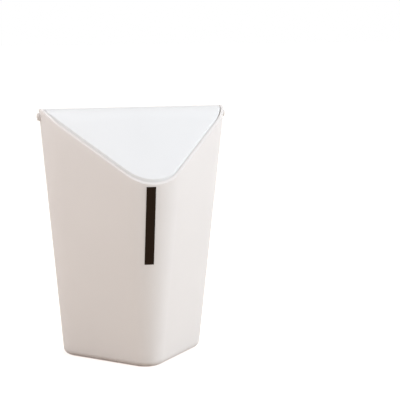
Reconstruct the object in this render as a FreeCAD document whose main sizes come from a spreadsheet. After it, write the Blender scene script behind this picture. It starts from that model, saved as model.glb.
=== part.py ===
"""Desktop trash can: a tapered square bucket with a roof-shaped swing lid.

Millimetres, +Z up. The lid's ridge and its two pivot pins run along X, the
front corner points towards -Y, and the origin is the middle of the face that
stands on the table. Heights are measured from the table.
"""
import math
import os

import FreeCAD
import Part
import Sketcher

Vector = FreeCAD.Vector

# Driving dimensions: name, value, meaning
SIZES = [
    ("base_side", 85.6, "width across two opposite walls at the table"),
    ("base_corner", 15.0, "outside corner radius at the table"),
    ("draft", 5.3, "outward lean of every wall, degrees"),
    ("wall", 1.8, "wall thickness"),
    ("body_height", 200.0, "height of the plain tapered body before the roof cut"),
    ("roof_angle", 41.2, "slope of the rim and of the lid, degrees"),
    ("fold_radius", 26.0, "radius of the rim where it turns over at a side corner"),
    ("fold_centre", 164.8, "height of the centre of that radius"),
    ("roof_reach", 90.0, "half width of the cutting profiles"),
    ("cut_margin", 10.0, "how far a cut runs past the material"),
    ("rim_round", 0.5, "rounding of the outer rim edge"),
    ("bottom_round", 5.0, "rounding where the walls meet the table"),
    ("foot_width", 8.0, "edge of the table outline to the recess in the underside"),
    ("foot_height", 1.5, "depth of that recess"),
    ("floor", 2.2, "floor thickness"),
    ("gate_diameter", 6.0, "moulding gate under the floor"),
    ("gate_height", 0.6, "how far the gate stands out"),
    ("pivot_height", 184.8, "height of the pivot line"),
    ("boss_diameter", 5.8, "pivot boss on the side corners"),
    ("boss_outer", 72.4, "middle plane to the outer boss face"),
    ("boss_inner", 67.9, "middle plane to the inner boss face"),
    ("pin_diameter", 4.0, "pivot pin"),
    ("pin_tip", 61.1, "middle plane to the end of the pin"),
    ("pin_chamfer", 0.4, "lead-in at the end of the pin and bevel of its head"),
    ("head_diameter", 5.6, "pin head"),
    ("head_thickness", 1.2, "pin head"),
    ("lid_plane", 120.0, "height at which the lid outline is drawn"),
    ("lid_gap", 0.5, "gap between lid and walls all round"),
    ("lid_rise", 2.0, "lid slopes above the rim slopes, measured upright"),
    ("lid_fold_radius", 32.5, "radius of the lid's rounded ridge"),
    ("lid_thickness", 2.0, "lid panel"),
    ("side_corner_extra", 2.2, "extra radius of the lid at the two pivot corners"),
    ("lid_edge_round", 0.5, "rounding of the upper lid edge"),
    ("lug_outer", 67.1, "middle plane to the outer face of a pivot lug"),
    ("lug_length", 6.5, "pivot lug along the pin"),
    ("lug_radius", 3.8, "pivot lug round the pin"),
    ("lug_top", 189.3, "top of a lug, inside the lid panel"),
    ("pin_bore", 4.1, "bore of a lug, a running fit on the pin"),
    ("rib_thickness", 1.6, "stiffening ribs under the lid"),
    ("rib_bottom", 181.4, "lower edge of the ribs at the middle"),
    ("rib_reach", 54.0, "how far the flap ribs run from the ridge"),
    ("rib_sink", 0.6, "how far the ribs run into the panel"),
    ("label_left", 6.4, "left edge of the label strip from the corner's middle line"),
    ("label_right", 0.5, "right edge of the label strip from the same line"),
    ("label_bottom", 80.6, "lower end of the label strip"),
    ("label_top", 138.8, "upper end of the label strip"),
    ("label_thickness", 0.2, "label film"),
    ("label_wrap", 40.0, "turn of the film round the corner before its sides are trimmed, degrees"),
]

doc = FreeCAD.newDocument("desktop_trash_can")
sheet = doc.addObject("Spreadsheet::Sheet", "dims")
for row, (alias, value, meaning) in enumerate(SIZES, start=1):
    sheet.set(f"A{row}", meaning)
    sheet.set(f"B{row}", str(value))
    sheet.setAlias(f"B{row}", alias)
doc.recompute()

# Formulas that several sketches share
SLOPE = "dims.roof_angle * 1 deg"
ROOF_TOP = "dims.body_height + dims.cut_margin"
LEAN = "tan(dims.draft * 1 deg)"
FLOOR_TOP = "(dims.foot_height + dims.floor)"
FOLD_STEP = "(dims.lid_fold_radius - dims.fold_radius)"
LID_CENTRE = f"dims.fold_centre + dims.lid_rise - {FOLD_STEP} / cos({SLOPE})"
LID_UNDER_RADIUS = "dims.lid_fold_radius - dims.lid_thickness"
LID_INSET = "(dims.wall + dims.lid_gap)"


def size(formula):
    """Value of a formula in the names of the sheet, in millimetres or degrees."""
    return float(sheet.evalExpression(formula))


def origin_plane(body, role):
    return next(item for item in body.Origin.OriginFeatures if item.Role == role)


def new_body(label):
    body = doc.addObject("PartDesign::Body", label)
    body.Label = label
    return body


def new_sketch(body, name, role, height="0", turn=0.0):
    """Sketch on an origin plane, lifted along the plane's normal and turned in it."""
    sketch = body.newObject("Sketcher::SketchObject", name)
    sketch.AttachmentSupport = [(origin_plane(body, role), "")]
    sketch.MapMode = "FlatFace"
    rotation = FreeCAD.Rotation(Vector(0, 0, 1), turn)
    sketch.AttachmentOffset = FreeCAD.Placement(Vector(0, 0, 0), rotation)
    sketch.setExpression("AttachmentOffset.Base.z", height)
    return sketch


def rule(sketch, kind, *where):
    """Add one constraint; a text as the last item is a formula that drives it."""
    if isinstance(where[-1], str):
        formula = where[-1]
        start = size(formula)
        if kind == "Angle":
            start = math.radians(start)
        index = sketch.addConstraint(Sketcher.Constraint(kind, *where[:-1], start))
        sketch.setExpression(f"Constraints[{index}]", formula)
    else:
        sketch.addConstraint(Sketcher.Constraint(kind, *where))


def rounded_square(body, name, height, side, corner, side_corner=None):
    """Square with rounded corners, turned so that its corners lie on X and Y.

    The corners on Y take the radius corner, the two on X take side_corner.
    """
    side_corner = side_corner or corner
    sketch = new_sketch(body, name, "XY_Plane", height, turn=45)
    half = size(side) / 2
    for quarter in range(4):
        radius = size(side_corner if quarter % 2 == 0 else corner)
        before = size(corner if quarter % 2 == 0 else side_corner)
        turn = FreeCAD.Rotation(Vector(0, 0, 1), 90 * quarter)
        start = turn.multVec(Vector(before - half, -half, 0))
        end = turn.multVec(Vector(half - radius, -half, 0))
        sketch.addGeometry(Part.LineSegment(start, end))
        centre = turn.multVec(Vector(half - radius, radius - half, 0))
        circle = Part.Circle(centre, Vector(0, 0, 1), radius)
        begin = math.radians(90 * quarter - 90)
        sketch.addGeometry(Part.ArcOfCircle(circle, begin, begin + math.pi / 2))
    for quarter in range(4):
        line, arc, next_line = 2 * quarter, 2 * quarter + 1, (2 * quarter + 2) % 8
        rule(sketch, "Tangent", line, 2, arc, 1)
        rule(sketch, "Tangent", arc, 2, next_line, 1)
        rule(sketch, "Horizontal" if quarter % 2 == 0 else "Vertical", line)
    rule(sketch, "Equal", 1, 5)
    rule(sketch, "Equal", 3, 7)
    rule(sketch, "Radius", 1, side_corner)
    rule(sketch, "Radius", 3, corner)
    rule(sketch, "Symmetric", 0, 1, 4, 1, -1, 1)
    rule(sketch, "DistanceX", 6, 1, 2, 1, side)
    rule(sketch, "DistanceY", 0, 1, 4, 1, side)
    return sketch


def polygon(sketch, corners):
    """Closed outline through the corners, given in the sketch's own plane."""
    points = [Vector(across, up, 0) for across, up in corners]
    for start, end in zip(points, points[1:] + points[:1]):
        sketch.addGeometry(Part.LineSegment(start, end))
    for line in range(len(points)):
        rule(sketch, "Coincident", line, 2, (line + 1) % len(points), 1)


def rectangle(sketch, left, right, bottom, top):
    """Upright rectangle whose four sides follow formulas, measured from the origin."""
    near, far, low, high = (size(formula) for formula in (left, right, bottom, top))
    polygon(sketch, [(near, low), (far, low), (far, high), (near, high)])
    for line in range(4):
        rule(sketch, "Vertical" if line % 2 else "Horizontal", line)
    rule(sketch, "DistanceX", -1, 1, 0, 1, left)
    rule(sketch, "DistanceX", -1, 1, 0, 2, right)
    rule(sketch, "DistanceY", -1, 1, 0, 1, bottom)
    rule(sketch, "DistanceY", -1, 1, 2, 1, top)


def roof_line(sketch, centre, radius, reach):
    """Left slope, right slope and the arc between them, numbered 0, 1 and 2."""
    angle = math.radians(size("dims.roof_angle"))
    high, bend, wide = size(centre), size(radius), size(reach)
    touch_y, touch_z = bend * math.sin(angle), high + bend * math.cos(angle)
    end_z = touch_z - (wide - touch_y) * math.tan(angle)
    left, right = Vector(-touch_y, touch_z, 0), Vector(touch_y, touch_z, 0)
    sketch.addGeometry(Part.LineSegment(Vector(-wide, end_z, 0), left))
    sketch.addGeometry(Part.LineSegment(right, Vector(wide, end_z, 0)))
    circle = Part.Circle(Vector(0, high, 0), Vector(0, 0, 1), bend)
    sketch.addGeometry(Part.ArcOfCircle(circle, math.pi / 2 - angle, math.pi / 2 + angle))
    rule(sketch, "Tangent", 2, 1, 1, 1)
    rule(sketch, "Tangent", 2, 2, 0, 2)
    rule(sketch, "PointOnObject", 2, 3, -2)
    rule(sketch, "DistanceY", -1, 1, 2, 3, centre)
    rule(sketch, "Radius", 2, radius)
    rule(sketch, "Angle", 0, SLOPE)
    rule(sketch, "Symmetric", 0, 1, 1, 2, -2)
    rule(sketch, "DistanceX", -1, 1, 1, 2, reach)
    return end_z


def roof_region(body, name, centre, radius, far):
    """Everything between a roof line and a level line at the height far."""
    sketch = new_sketch(body, name, "YZ_Plane")
    end_z = roof_line(sketch, centre, radius, "dims.roof_reach")
    wide, level = size("dims.roof_reach"), size(far)
    corners = [
        Vector(wide, end_z, 0),
        Vector(wide, level, 0),
        Vector(-wide, level, 0),
        Vector(-wide, end_z, 0),
    ]
    for start, end in zip(corners, corners[1:]):
        sketch.addGeometry(Part.LineSegment(start, end))
    rule(sketch, "Coincident", 1, 2, 3, 1)
    rule(sketch, "Coincident", 3, 2, 4, 1)
    rule(sketch, "Coincident", 4, 2, 5, 1)
    rule(sketch, "Coincident", 5, 2, 0, 1)
    rule(sketch, "Vertical", 3)
    rule(sketch, "Horizontal", 4)
    rule(sketch, "Vertical", 5)
    rule(sketch, "DistanceY", -1, 1, 4, 1, far)
    return sketch


def circle_sketch(body, name, role, height, centre_up, diameter):
    """Circle on the plane's upright axis, centre_up above the origin."""
    sketch = new_sketch(body, name, role, height)
    circle = Part.Circle(Vector(0, size(centre_up), 0), Vector(0, 0, 1), size(diameter) / 2)
    sketch.addGeometry(circle)
    rule(sketch, "PointOnObject", 0, 3, -2)
    rule(sketch, "DistanceY", -1, 1, 0, 3, centre_up)
    rule(sketch, "Diameter", 0, diameter)
    return sketch


def pad(body, name, sketch, length, taper=None, both_sides=False):
    """Add material along the sketch's normal, or half to each side of it."""
    feature = body.newObject("PartDesign::Pad", name)
    feature.Profile = (sketch, [""])
    feature.setExpression("Length", length)
    feature.SideType = "Symmetric" if both_sides else "One side"
    if taper:
        feature.setExpression("TaperAngle", taper)
    doc.recompute()
    return feature


def pocket(body, name, sketch, length=None, taper=None, reverse=False):
    """Cut along the sketch's normal, or right through both ways without a length."""
    before = body.Shape.Volume
    feature = body.newObject("PartDesign::Pocket", name)
    feature.Profile = (sketch, [""])
    feature.Reversed = reverse
    if length:
        feature.setExpression("Length", length)
    else:
        feature.Type = "ThroughAll"
        feature.SideType = "Symmetric"
    if taper:
        feature.setExpression("TaperAngle", taper)
    doc.recompute()
    if feature.Shape.Volume > before - 1:
        raise RuntimeError(f"{name} cuts nothing")
    return feature


def mirror(body, name, features):
    """Repeat features on the other side of the YZ plane."""
    feature = body.newObject("PartDesign::Mirrored", name)
    feature.Originals = features
    feature.MirrorPlane = (origin_plane(body, "YZ_Plane"), [""])
    body.Tip = feature
    doc.recompute()
    return feature


def border(shape, lies_on):
    """Names of the edges round the faces whose corner points all pass the test."""
    faces = [face for face in shape.Faces if all(lies_on(v.Point) for v in face.Vertexes)]
    edges = [edge for face in faces for edge in face.Edges]
    names = []
    for number, edge in enumerate(shape.Edges, start=1):
        if sum(edge.isSame(other) for other in edges) == 1:
            names.append(f"Edge{number}")
    return names


def fillet(body, name, lies_on, radius):
    """Round the edges that border the faces on one surface."""
    base = body.Tip
    feature = body.newObject("PartDesign::Fillet", name)
    feature.Base = (base, border(base.Shape, lies_on))
    feature.setExpression("Radius", radius)
    doc.recompute()
    return feature


def at_height(formula):
    level = size(formula)
    return lambda point: abs(point.z - level) < 0.01


def on_roof(centre, radius):
    """Test for points on the rounded roof with this fold centre and radius."""
    high, bend = size(centre), size(radius)
    angle = math.radians(size("dims.roof_angle"))

    def test(point):
        across = abs(point.y)
        if across < bend * math.sin(angle):
            height = high + math.sqrt(bend**2 - across**2)
        else:
            height = high + bend / math.cos(angle) - across * math.tan(angle)
        return abs(point.z - height) < 0.01

    return test


def make_bucket():
    """One moulding: drafted walls, roof-cut rim, floor, standing ring and pivot bosses."""
    body = new_body("bucket")
    outline = rounded_square(body, "bucket_outline", "0", "dims.base_side", "dims.base_corner")
    pad(body, "tapered_body", outline, "dims.body_height", taper="dims.draft")

    roof = roof_region(body, "rim_profile", "dims.fold_centre", "dims.fold_radius", ROOF_TOP)
    pocket(body, "rim_cut", roof)
    fillet(body, "rim_edge", on_roof("dims.fold_centre", "dims.fold_radius"), "dims.rim_round")
    fillet(body, "bottom_edge", at_height("0"), "dims.bottom_round")

    growth = f"{FLOOR_TOP} * {LEAN} - dims.wall"
    cavity = rounded_square(
        body,
        "cavity_outline",
        FLOOR_TOP,
        f"dims.base_side + 2 * ({growth})",
        f"dims.base_corner + {growth}",
    )
    pocket(body, "cavity", cavity, "dims.body_height", taper="dims.draft", reverse=True)

    recess = rounded_square(
        body,
        "recess_outline",
        "0",
        "dims.base_side - 2 * dims.foot_width",
        "dims.base_corner - dims.foot_width",
    )
    pocket(body, "foot_recess", recess, "dims.foot_height", reverse=True)
    gate_level = "dims.foot_height - dims.gate_height"
    gate = circle_sketch(body, "gate_outline", "XY_Plane", gate_level, "0", "dims.gate_diameter")
    pad(body, "gate", gate, "dims.gate_height")

    boss_outline = circle_sketch(
        body, "boss_outline", "YZ_Plane", "dims.boss_inner", "dims.pivot_height", "dims.boss_diameter"
    )
    boss = pad(body, "boss", boss_outline, "dims.boss_outer - dims.boss_inner")
    mirror(body, "both_bosses", [boss])
    hole_outline = circle_sketch(
        body, "pin_hole_outline", "YZ_Plane", "0", "dims.pivot_height", "dims.pin_diameter"
    )
    pocket(body, "pin_holes", hole_outline)
    return body


def lug_outline(body):
    """Lug seen along the pin: half round below, straight sides up into the lid panel."""
    sketch = new_sketch(body, "lug_outline", "YZ_Plane", "dims.lug_outer - dims.lug_length")
    radius, pivot, top = size("dims.lug_radius"), size("dims.pivot_height"), size("dims.lug_top")
    corners = [
        Vector(radius, pivot, 0),
        Vector(radius, top, 0),
        Vector(-radius, top, 0),
        Vector(-radius, pivot, 0),
    ]
    for start, end in zip(corners, corners[1:]):
        sketch.addGeometry(Part.LineSegment(start, end))
    circle = Part.Circle(Vector(0, pivot, 0), Vector(0, 0, 1), radius)
    sketch.addGeometry(Part.ArcOfCircle(circle, math.pi, 2 * math.pi))
    rule(sketch, "Coincident", 0, 2, 1, 1)
    rule(sketch, "Coincident", 1, 2, 2, 1)
    rule(sketch, "Tangent", 2, 2, 3, 1)
    rule(sketch, "Tangent", 3, 2, 0, 1)
    rule(sketch, "Vertical", 0)
    rule(sketch, "Horizontal", 1)
    rule(sketch, "PointOnObject", 3, 3, -2)
    rule(sketch, "DistanceY", -1, 1, 3, 3, "dims.pivot_height")
    rule(sketch, "Radius", 3, "dims.lug_radius")
    rule(sketch, "DistanceY", -1, 1, 1, 1, "dims.lug_top")
    return sketch


def flap_rib_outline(body):
    """Rib under both flaps: deepest below the ridge and running out towards the tips."""
    sketch = new_sketch(body, "flap_rib_outline", "YZ_Plane")
    radius = f"{LID_UNDER_RADIUS} + dims.rib_sink"
    end_z = roof_line(sketch, LID_CENTRE, radius, "dims.rib_reach")
    reach, bottom = size("dims.rib_reach"), size("dims.rib_bottom")
    middle = Vector(0, bottom, 0)
    sketch.addGeometry(Part.LineSegment(Vector(reach, end_z, 0), middle))
    sketch.addGeometry(Part.LineSegment(middle, Vector(-reach, end_z, 0)))
    rule(sketch, "Coincident", 1, 2, 3, 1)
    rule(sketch, "Coincident", 3, 2, 4, 1)
    rule(sketch, "Coincident", 4, 2, 0, 1)
    rule(sketch, "PointOnObject", 3, 2, -2)
    rule(sketch, "DistanceY", -1, 1, 3, 2, "dims.rib_bottom")
    return sketch


def ridge_rib_outline(body):
    """Rib under the ridge, from lug to lug."""
    sketch = new_sketch(body, "ridge_rib_outline", "XZ_Plane")
    reach = "(dims.lug_outer - dims.lug_length)"
    rectangle(sketch, f"-{reach}", reach, "dims.rib_bottom", "dims.lug_top")
    return sketch


def make_lid():
    """One moulding: two flaps folded over a rounded ridge, with lugs and ribs beneath."""
    body = new_body("swing_lid")
    growth = f"dims.lid_plane * {LEAN} - {LID_INSET}"
    corner = f"dims.base_corner + {growth}"
    outline = rounded_square(
        body,
        "lid_outline",
        "dims.lid_plane",
        f"dims.base_side + 2 * ({growth})",
        corner,
        f"{corner} + dims.side_corner_extra",
    )
    pad(body, "lid_block", outline, "dims.body_height - dims.lid_plane", taper="dims.draft")
    upper = roof_region(body, "lid_upper_profile", LID_CENTRE, "dims.lid_fold_radius", ROOF_TOP)
    pocket(body, "upper_cut", upper)
    below = "dims.lid_plane - dims.roof_reach"
    under = roof_region(body, "lid_under_profile", LID_CENTRE, LID_UNDER_RADIUS, below)
    pocket(body, "under_cut", under)
    fillet(body, "upper_edge", on_roof(LID_CENTRE, "dims.lid_fold_radius"), "dims.lid_edge_round")

    pad(body, "flap_rib", flap_rib_outline(body), "dims.rib_thickness", both_sides=True)
    pad(body, "ridge_rib", ridge_rib_outline(body), "dims.rib_thickness", both_sides=True)
    lug = pad(body, "lug", lug_outline(body), "dims.lug_length")
    bore_outline = circle_sketch(
        body, "bore_outline", "YZ_Plane", "dims.lug_outer", "dims.pivot_height", "dims.pin_bore"
    )
    bore = pocket(body, "bore", bore_outline, "dims.lug_length")
    mirror(body, "both_lugs", [lug, bore])
    return body


def make_pin(label, turn):
    """Push-in pin: a low bevelled head outside, a straight shank through boss and lug."""
    body = new_body(label)
    sketch = new_sketch(body, f"{label}_profile", "XZ_Plane")
    tip, seat = size("dims.pin_tip"), size("dims.boss_outer")
    end = seat + size("dims.head_thickness")
    shank, head = size("dims.pin_diameter") / 2, size("dims.head_diameter") / 2
    bevel = size("dims.pin_chamfer")
    corners = [
        (end, 0),
        (tip, 0),
        (tip, shank - bevel),
        (tip + bevel, shank),
        (seat, shank),
        (seat, head),
        (end - bevel, head),
        (end, head - bevel),
    ]
    polygon(sketch, corners)
    for line in (0, 3, 5):
        rule(sketch, "Horizontal", line)
    for line in (1, 4, 7):
        rule(sketch, "Vertical", line)
    rule(sketch, "PointOnObject", 0, 1, -1)
    rule(sketch, "DistanceX", -1, 1, 0, 2, "dims.pin_tip")
    rule(sketch, "DistanceX", 2, 1, 2, 2, "dims.pin_chamfer")
    rule(sketch, "DistanceY", 2, 1, 2, 2, "dims.pin_chamfer")
    rule(sketch, "DistanceY", -1, 1, 3, 1, "dims.pin_diameter / 2")
    rule(sketch, "DistanceX", -1, 1, 4, 1, "dims.boss_outer")
    rule(sketch, "DistanceY", -1, 1, 4, 2, "dims.head_diameter / 2")
    rule(sketch, "DistanceX", 4, 2, 7, 1, "dims.head_thickness")
    rule(sketch, "DistanceX", 6, 1, 6, 2, "dims.pin_chamfer")
    rule(sketch, "DistanceY", 6, 2, 6, 1, "dims.pin_chamfer")
    feature = body.newObject("PartDesign::Revolution", f"{label}_turned")
    feature.Profile = (sketch, [""])
    feature.ReferenceAxis = (sketch, ["H_Axis"])
    feature.Angle = 360
    body.Placement = FreeCAD.Placement(Vector(0, 0, 0), FreeCAD.Rotation(Vector(0, 0, 1), turn))
    body.setExpression("Placement.Base.z", "dims.pivot_height")
    doc.recompute()
    return body


def make_label():
    """Bare film strip on the round front corner, nearly all of it left of the middle line."""
    body = new_body("label_strip")
    corner_centre = "sqrt(2) * (dims.base_side / 2 - dims.base_corner)"
    profile = new_sketch(body, "film_profile", "YZ_Plane")
    profile.setExpression("AttachmentOffset.Base.x", f"-({corner_centre})")
    low, high = size("dims.label_bottom"), size("dims.label_top")
    film = size("dims.label_thickness")
    radius_low = f"dims.base_corner + dims.label_bottom * {LEAN}"
    radius_high = f"dims.base_corner + dims.label_top * {LEAN}"
    inner_low, inner_high = size(radius_low), size(radius_high)
    corners = [
        (-inner_low, low),
        (-inner_high, high),
        (-inner_high - film, high),
        (-inner_low - film, low),
    ]
    polygon(profile, corners)
    rule(profile, "Horizontal", 1)
    rule(profile, "Horizontal", 3)
    rule(profile, "DistanceY", -1, 1, 0, 1, "dims.label_bottom")
    rule(profile, "DistanceY", -1, 1, 0, 2, "dims.label_top")
    rule(profile, "DistanceX", 0, 1, -1, 1, radius_low)
    rule(profile, "DistanceX", 0, 2, -1, 1, radius_high)
    rule(profile, "DistanceX", 1, 2, 1, 1, "dims.label_thickness")
    rule(profile, "DistanceX", 3, 1, 3, 2, "dims.label_thickness")
    turned = body.newObject("PartDesign::Revolution", "film")
    turned.Profile = (profile, [""])
    turned.ReferenceAxis = (profile, ["V_Axis"])
    turned.setExpression("Angle", "dims.label_wrap")
    turned.Midplane = True
    doc.recompute()

    beyond_left = ("-(dims.label_left + dims.cut_margin)", "-dims.label_left")
    beyond_right = ("dims.label_right", "dims.label_right + dims.cut_margin")
    for name, (near, far) in {"left": beyond_left, "right": beyond_right}.items():
        trim = new_sketch(body, f"{name}_trim_outline", "XZ_Plane")
        rectangle(
            trim,
            near,
            far,
            "dims.label_bottom - dims.cut_margin",
            "dims.label_top + dims.cut_margin",
        )
        pocket(body, f"{name}_trim", trim)
    return body


bodies = [
    make_bucket(),
    make_lid(),
    make_pin("right_pivot_pin", 0),
    make_pin("left_pivot_pin", 180),
    make_label(),
]
doc.recompute()

for item in doc.Objects:
    if "Invalid" in item.State or "Error" in item.State:
        raise RuntimeError(f"{item.Name} did not build: {item.State}")
for body in bodies:
    shape = body.Shape
    if shape.isNull() or not shape.isValid() or len(shape.Solids) != 1:
        raise RuntimeError(f"{body.Label} is not one valid solid")

os.makedirs("parts", exist_ok=True)
for body in bodies:
    body.Shape.exportStep(f"parts/{body.Label}.step")
    box = body.Shape.BoundBox
    extent = f"{box.XLength:.1f} x {box.YLength:.1f} x {box.ZLength:.1f} mm"
    print(f"{body.Label}: {body.Shape.Volume:.0f} mm3, {extent}")
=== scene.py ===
import math

import bpy
import numpy as np
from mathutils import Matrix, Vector


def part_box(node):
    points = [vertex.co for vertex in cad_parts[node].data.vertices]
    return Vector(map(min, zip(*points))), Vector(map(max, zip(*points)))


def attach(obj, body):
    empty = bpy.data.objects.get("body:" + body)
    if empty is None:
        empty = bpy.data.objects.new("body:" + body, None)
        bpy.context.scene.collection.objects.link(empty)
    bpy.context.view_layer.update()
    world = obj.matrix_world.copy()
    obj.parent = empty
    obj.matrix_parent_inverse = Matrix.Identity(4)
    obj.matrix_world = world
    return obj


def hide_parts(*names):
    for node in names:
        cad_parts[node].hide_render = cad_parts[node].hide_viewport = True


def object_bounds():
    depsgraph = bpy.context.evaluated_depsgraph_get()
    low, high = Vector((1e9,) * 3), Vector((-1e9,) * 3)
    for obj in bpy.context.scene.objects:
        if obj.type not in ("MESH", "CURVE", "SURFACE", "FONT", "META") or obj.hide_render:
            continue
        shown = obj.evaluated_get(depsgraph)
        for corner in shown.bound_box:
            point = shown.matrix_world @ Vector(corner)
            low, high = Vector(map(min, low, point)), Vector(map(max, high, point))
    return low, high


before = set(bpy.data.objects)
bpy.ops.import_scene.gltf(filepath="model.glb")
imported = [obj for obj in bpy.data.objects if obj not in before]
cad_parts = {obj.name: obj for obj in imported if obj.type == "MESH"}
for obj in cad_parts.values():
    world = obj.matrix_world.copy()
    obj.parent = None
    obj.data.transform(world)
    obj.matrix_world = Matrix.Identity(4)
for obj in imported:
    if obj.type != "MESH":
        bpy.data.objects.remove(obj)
cad_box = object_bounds()

# Bucket
# One injection moulding in polypropylene, tapered so that it leaves the mould and stacks.
# The mould's walls are fine-blasted, which gives a warm off-white satin without a mirror image.
MM = 0.001
SHARE_THROUGH = 0.35


def linear(code):
    """Linear RGBA of an sRGB hex colour: each channel undoes the screen's gamma curve."""
    channels = np.array([int(code[i:i + 2], 16) for i in (1, 3, 5)]) / 255
    low, high = channels / 12.92, ((channels + 0.055) / 1.055) ** 2.4
    return (*np.where(channels <= 0.04045, low, high), 1.0)


def add_node(tree, kind, inputs=None, **settings):
    """Add one node; each input is a plain value, or the socket that feeds it."""
    item = tree.nodes.new(kind)
    for name, value in settings.items():
        setattr(item, name, value)
    for key, value in (inputs or {}).items():
        if isinstance(value, bpy.types.NodeSocket):
            tree.links.new(value, item.inputs[key])
        else:
            item.inputs[key].default_value = value
    return item


def moulded_plastic(name, tones, gloss, cloud_mm, grain_mm, grain_depth_mm, sink_mm, sink_depth_mm):
    """Moulded polypropylene: two near tones in soft clouds, a satin grain and slow waves.

    The clouds are pigment that flowed unevenly. The grain breaks up the gloss and lifts the
    surface a little, and the waves are the slight sinking of a wall that cooled in the mould.
    So thin a wall lets a share of the light through, so the gap round the lid isn't black.
    """
    material = bpy.data.materials.new(name)
    material.use_nodes = True
    tree = material.node_tree
    tree.nodes.clear()
    place = add_node(tree, "ShaderNodeTexCoord").outputs["Object"]
    clouds = add_node(
        tree, "ShaderNodeTexNoise", {"Vector": place, "Scale": 1 / (cloud_mm * MM), "Detail": 3.0}
    )
    grain = add_node(
        tree, "ShaderNodeTexNoise", {"Vector": place, "Scale": 1 / (grain_mm * MM), "Detail": 2.0}
    )
    waves = add_node(
        tree, "ShaderNodeTexNoise", {"Vector": place, "Scale": 1 / (sink_mm * MM), "Detail": 0.0}
    )
    colour = add_node(
        tree,
        "ShaderNodeMix",
        {0: clouds.outputs["Fac"], 6: linear(tones[0]), 7: linear(tones[1])},
        data_type="RGBA",
    )
    sheen = add_node(
        tree,
        "ShaderNodeMapRange",
        {"Value": grain.outputs["Fac"], "To Min": gloss[0], "To Max": gloss[1]},
    )
    sunk = add_node(
        tree,
        "ShaderNodeBump",
        {"Height": waves.outputs["Fac"], "Strength": 1.0, "Distance": sink_depth_mm * MM},
    )
    raised = add_node(
        tree,
        "ShaderNodeBump",
        {
            "Height": grain.outputs["Fac"],
            "Normal": sunk.outputs["Normal"],
            "Strength": 1.0,
            "Distance": grain_depth_mm * MM,
        },
    )
    shader = add_node(
        tree,
        "ShaderNodeBsdfPrincipled",
        {
            "Base Color": colour.outputs[2],
            "Roughness": sheen.outputs["Result"],
            "IOR": 1.49,
            "Normal": raised.outputs["Normal"],
        },
    )
    through = add_node(tree, "ShaderNodeBsdfTranslucent", {"Color": linear("#fbfaf8")})
    wall = add_node(
        tree,
        "ShaderNodeMixShader",
        {0: SHARE_THROUGH, 1: shader.outputs["BSDF"], 2: through.outputs["BSDF"]},
    )
    add_node(tree, "ShaderNodeOutputMaterial", {"Surface": wall.outputs["Shader"]})
    return material


# Polypropylene from a blasted mould: soft broad highlights on a warm off-white. The real grain,
# about 0.1 mm, is too fine to show here, so it is drawn at 1.4 mm and very shallow.
ivory = moulded_plastic(
    "ivory_polypropylene_satin",
    tones=("#f1eded", "#f7f3f3"),
    gloss=(0.42, 0.52),
    cloud_mm=60,
    grain_mm=1.4,
    grain_depth_mm=0.006,
    sink_mm=45,
    sink_depth_mm=0.05,
)
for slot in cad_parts["bucket"].material_slots:
    slot.material = ivory

# Swing lid
# One moulding, folded over a rounded ridge, that hangs on two pins and levels itself.
# Its mould is finer, so the cool white flaps are a little smoother and brighter than the bucket.
white = moulded_plastic(
    "white_polypropylene_smooth",
    tones=("#f3f4f7", "#f7f8fa"),
    gloss=(0.42, 0.48),
    cloud_mm=70,
    grain_mm=2.0,
    grain_depth_mm=0.003,
    sink_mm=50,
    sink_depth_mm=0.04,
)
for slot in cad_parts["swing_lid"].material_slots:
    slot.material = white

# Pivot pins
# Two small moulded pins with a low bevelled head, pushed through the bucket's side corners
# into the lugs of the lid. Same plastic as the bucket, from a smoother mould.
pin_ivory = moulded_plastic(
    "ivory_polypropylene_pin",
    tones=("#f0ebe9", "#f6f1ef"),
    gloss=(0.34, 0.42),
    cloud_mm=8,
    grain_mm=0.8,
    grain_depth_mm=0.003,
    sink_mm=6,
    sink_depth_mm=0.01,
)
for name in ("left_pivot_pin", "right_pivot_pin"):
    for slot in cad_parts[name].material_slots:
        slot.material = pin_ivory

# Label strip
# A bare strip of brown-black plastic film, stuck on the round front corner with its right
# edge near the corner's middle line. It is thin, so it follows the corner without a ripple.
BASE_SIDE = 85.6 * MM
BASE_CORNER = 15 * MM
DRAFT = math.radians(5.3)
FILM = 0.2 * MM
FILM_STEPS = (25, 60)
INK_GRAIN = 1.5 * MM
INK_PEEL = 0.004 * MM
CORNER_MIDDLE = -math.sqrt(2) * (BASE_SIDE / 2 - BASE_CORNER)


def corner_patch(low, high, lift, steps):
    """Grid on the front corner: x and z run evenly over the strip, y follows the cone.

    The cone's radius grows with height by the draft, so y is the corner's middle less the
    root of the radius squared minus x squared. The last axis of the grid holds x, y and z.
    """
    x = np.linspace(low.x, high.x, steps[0])
    z = np.linspace(low.z, high.z, steps[1])
    x, z = np.meshgrid(x, z)
    radius = BASE_CORNER + z * math.tan(DRAFT) + lift
    return np.stack([x, CORNER_MIDDLE - np.sqrt(radius**2 - x**2), z], axis=-1)


def grid_object(name, grid, material):
    """Mesh object of a grid of points, with a face between each four and its own UV map."""
    rows, columns = grid.shape[:2]
    index = np.arange(rows * columns).reshape(rows, columns)
    around = (index[:-1, :-1], index[:-1, 1:], index[1:, 1:], index[1:, :-1])
    faces = np.stack(around, axis=-1).reshape(-1, 4)
    mesh = bpy.data.meshes.new(name)
    mesh.from_pydata(grid.reshape(-1, 3).tolist(), [], faces.tolist())
    across, up = np.meshgrid(np.linspace(0, 1, columns), np.linspace(0, 1, rows))
    flat = np.stack([across, up], axis=-1).reshape(-1, 2)
    mesh.uv_layers.new(name="strip").data.foreach_set("uv", flat[faces.ravel()].ravel())
    mesh.shade_smooth()
    mesh.materials.append(material)
    piece = bpy.data.objects.new(name, mesh)
    bpy.context.scene.collection.objects.link(piece)
    return piece


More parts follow.
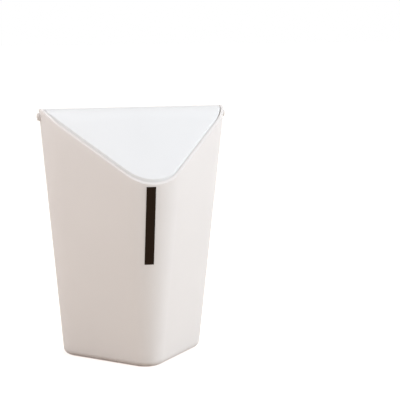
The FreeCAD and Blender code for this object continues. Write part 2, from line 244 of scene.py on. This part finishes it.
# Printed polyester film with a matt overprint: near black with a little brown, hardly any gloss,
# and a faint orange peel where the ink dried.
film_black = bpy.data.materials.new("black_polyester_film")
film_black.use_nodes = True
film_tree = film_black.node_tree
film_tree.nodes.clear()
film_place = add_node(film_tree, "ShaderNodeTexCoord").outputs["Object"]
ink = add_node(
    film_tree, "ShaderNodeTexNoise", {"Vector": film_place, "Scale": 1 / INK_GRAIN, "Detail": 3.0}
)
ink_colour = add_node(
    film_tree,
    "ShaderNodeMix",
    {0: ink.outputs["Fac"], 6: linear("#1e130d"), 7: linear("#271c12")},
    data_type="RGBA",
)
ink_gloss = add_node(
    film_tree, "ShaderNodeMapRange", {"Value": ink.outputs["Fac"], "To Min": 0.5, "To Max": 0.62}
)
ink_peel = add_node(
    film_tree, "ShaderNodeBump", {"Height": ink.outputs["Fac"], "Distance": INK_PEEL}
)
ink_shader = add_node(
    film_tree,
    "ShaderNodeBsdfPrincipled",
    {
        "Base Color": ink_colour.outputs[2],
        "Roughness": ink_gloss.outputs["Result"],
        "Specular IOR Level": 0.05,
        "Normal": ink_peel.outputs["Normal"],
    },
)
add_node(film_tree, "ShaderNodeOutputMaterial", {"Surface": ink_shader.outputs["BSDF"]})
strip = corner_patch(*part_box("label_strip"), FILM, FILM_STEPS)
label = grid_object("label_film", strip, film_black)
thickness = label.modifiers.new("thickness", "SOLIDIFY")
thickness.thickness = FILM
thickness.offset = -1.0
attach(label, "bucket")
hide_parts("label_strip")

# Floor
# A plain white table top, not part of the can. The camera sees it as white paper, with a thin
# line of painted shade at the can, darkest on the side away from the right-hand lamp.
FLOOR_HALF = 6.0
LAMP_RIGHT, LAMP_UP = 0.8, 0.6
# Painted shade: the paper's colour turns brown under the can's round edge, so less light bounces up
# onto the can's foot.
EDGE_REACH = 6 * MM
EDGE_COVER = (0.45, 0.95)
# Painted shade: a narrow beige line in the white the camera sees, right at the can.
LINE_REACH = 0.5 * MM
LINE_COVER = (0.1, 0.5)
PAPER_LEVEL = 0.95

floor_mesh = bpy.data.meshes.new("floor")
floor_corners = [(-FLOOR_HALF, -FLOOR_HALF, 0), (FLOOR_HALF, -FLOOR_HALF, 0)]
floor_corners += [(FLOOR_HALF, FLOOR_HALF, 0), (-FLOOR_HALF, FLOOR_HALF, 0)]
floor_mesh.from_pydata(floor_corners, [], [(0, 1, 2, 3)])
floor = bpy.data.objects.new("floor", floor_mesh)
bpy.context.scene.collection.objects.link(floor)


def seen_directly(tree):
    """One where a surface is seen straight, mirrored or through glass, else zero.

    Light that soaks through a plastic wall doesn't count, so the white adds none to the can.
    """
    path = add_node(tree, "ShaderNodeLightPath").outputs
    mirrored = add_node(
        tree,
        "ShaderNodeMath",
        {0: path["Is Camera Ray"], 1: path["Is Glossy Ray"]},
        operation="MAXIMUM",
    )
    clear = add_node(
        tree,
        "ShaderNodeMath",
        {0: mirrored.outputs[0], 1: path["Is Transmission Ray"]},
        operation="MAXIMUM",
    )
    return add_node(
        tree,
        "ShaderNodeMath",
        {0: clear.outputs[0], 1: path["Is Diffuse Ray"]},
        operation="SUBTRACT",
        use_clamp=True,
    ).outputs[0]


def shade(tree, reach, cover):
    """From zero to one: the freer the floor is to the right and up within a reach, the higher.

    The pair cover holds the shares of free view that give zero and one. Right and up is where
    the large lamp hangs.
    """
    # Ambient occlusion turned towards the lamp: the mask of the painted shade on the paper.
    lamp_side = add_node(tree, "ShaderNodeCombineXYZ", {"X": LAMP_RIGHT, "Z": LAMP_UP})
    view = add_node(
        tree, "ShaderNodeAmbientOcclusion", {"Distance": reach, "Normal": lamp_side.outputs["Vector"]}
    )
    return add_node(
        tree,
        "ShaderNodeMapRange",
        {"Value": view.outputs["AO"], "From Min": cover[0], "From Max": cover[1]},
    ).outputs["Result"]


# Smooth paper that the lamps light as a warm grey, with brown shade painted into its colour under the
# can's round edge.
# What the camera sees of it is white, with a narrow beige line of painted shade at the can.
paper = bpy.data.materials.new("white_paper")
paper.use_nodes = True
paper_tree = paper.node_tree
paper_tree.nodes.clear()
# Painted shade: brown mixed into the paper's colour where it is hidden from the lamp side.
paper_tone_with_painted_shade = add_node(
    paper_tree,
    "ShaderNodeMix",
    {0: shade(paper_tree, EDGE_REACH, EDGE_COVER), 6: linear("#7c4e2a"), 7: linear("#cbbfb0")},
    data_type="RGBA",
)
paper_diffuse = add_node(paper_tree, "ShaderNodeBsdfDiffuse", {"Color": paper_tone_with_painted_shade.outputs[2]})
# Painted shade: beige mixed into the white the camera sees, in a narrow line at the can.
paper_white_with_painted_line = add_node(
    paper_tree,
    "ShaderNodeMix",
    {0: shade(paper_tree, LINE_REACH, LINE_COVER), 6: linear("#d6b698"), 7: linear("#ffffff")},
    data_type="RGBA",
)
paper_level = add_node(
    paper_tree, "ShaderNodeMath", {0: seen_directly(paper_tree), 1: PAPER_LEVEL}, operation="MULTIPLY"
)
paper_glow = add_node(
    paper_tree,
    "ShaderNodeEmission",
    {"Color": paper_white_with_painted_line.outputs[2], "Strength": paper_level.outputs[0]},
)
paper_sum = add_node(
    paper_tree, "ShaderNodeAddShader", {0: paper_diffuse.outputs[0], 1: paper_glow.outputs[0]}
)
add_node(paper_tree, "ShaderNodeOutputMaterial", {"Surface": paper_sum.outputs[0]})
floor.data.materials.append(paper)

# Light and camera
# A large cool softbox on the right, two small ones on the left and above, and an even warm room.
# Seen directly, the room is white.
ROOM_LEVEL = 0.45
room = bpy.data.worlds.new("room")
room.use_nodes = True
room_tree = room.node_tree
room_tree.nodes.clear()
room_light = add_node(
    room_tree, "ShaderNodeBackground", {"Color": linear("#fff7ed"), "Strength": ROOM_LEVEL}
)
room_white = add_node(room_tree, "ShaderNodeBackground", {"Color": linear("#ffffff")})
room_both = add_node(
    room_tree,
    "ShaderNodeMixShader",
    {0: seen_directly(room_tree), 1: room_light.outputs[0], 2: room_white.outputs[0]},
)
add_node(room_tree, "ShaderNodeOutputWorld", {"Surface": room_both.outputs[0]})
bpy.context.scene.world = room

middle = Vector((0, 0, (cad_box[0].z + cad_box[1].z) / 2))


def softbox(name, place, width, power, colour):
    """Square area lamp at a place in metres, turned to the middle of the can."""
    lamp = bpy.data.lights.new(name, "AREA")
    lamp.size = width
    lamp.energy = power
    lamp.color = linear(colour)[:3]
    item = bpy.data.objects.new(name, lamp)
    item.location = Vector(place)
    item.rotation_euler = (middle - item.location).to_track_quat("-Z", "Y").to_euler()
    bpy.context.scene.collection.objects.link(item)


softbox("key_right", place=(0.96, -0.53, 0.6), width=1.1, power=14.9, colour="#ebf6ff")
softbox("fill_left", place=(-0.69, -0.25, 0.55), width=0.6, power=3.8, colour="#fbfbff")
softbox("fill_top", place=(0.0, 0.3, 0.95), width=0.6, power=1.45, colour="#ffffff")

VIEW_AZIMUTH = math.radians(-14.475)
VIEW_ELEVATION = math.radians(10.18)
VIEW_DISTANCE = 0.992
VIEW_TARGET = Vector((0, 0, 0.0995))
PICTURE_SIDE = 400
TARGET_PIXEL = (132.13, 224.62)

lens = bpy.data.cameras.new("camera")
lens.sensor_width = 36.0
lens.lens = 115.07
lens.shift_x = 0.5 - TARGET_PIXEL[0] / PICTURE_SIDE
lens.shift_y = TARGET_PIXEL[1] / PICTURE_SIDE - 0.5
camera = bpy.data.objects.new("camera", lens)
back = Vector(
    (
        math.sin(VIEW_AZIMUTH) * math.cos(VIEW_ELEVATION),
        -math.cos(VIEW_AZIMUTH) * math.cos(VIEW_ELEVATION),
        math.sin(VIEW_ELEVATION),
    )
)
camera.location = VIEW_TARGET + VIEW_DISTANCE * back
camera.rotation_euler = (-back).to_track_quat("-Z", "Y").to_euler()
bpy.context.scene.collection.objects.link(camera)
bpy.context.scene.camera = camera
bpy.context.scene.view_settings.view_transform = "Standard"
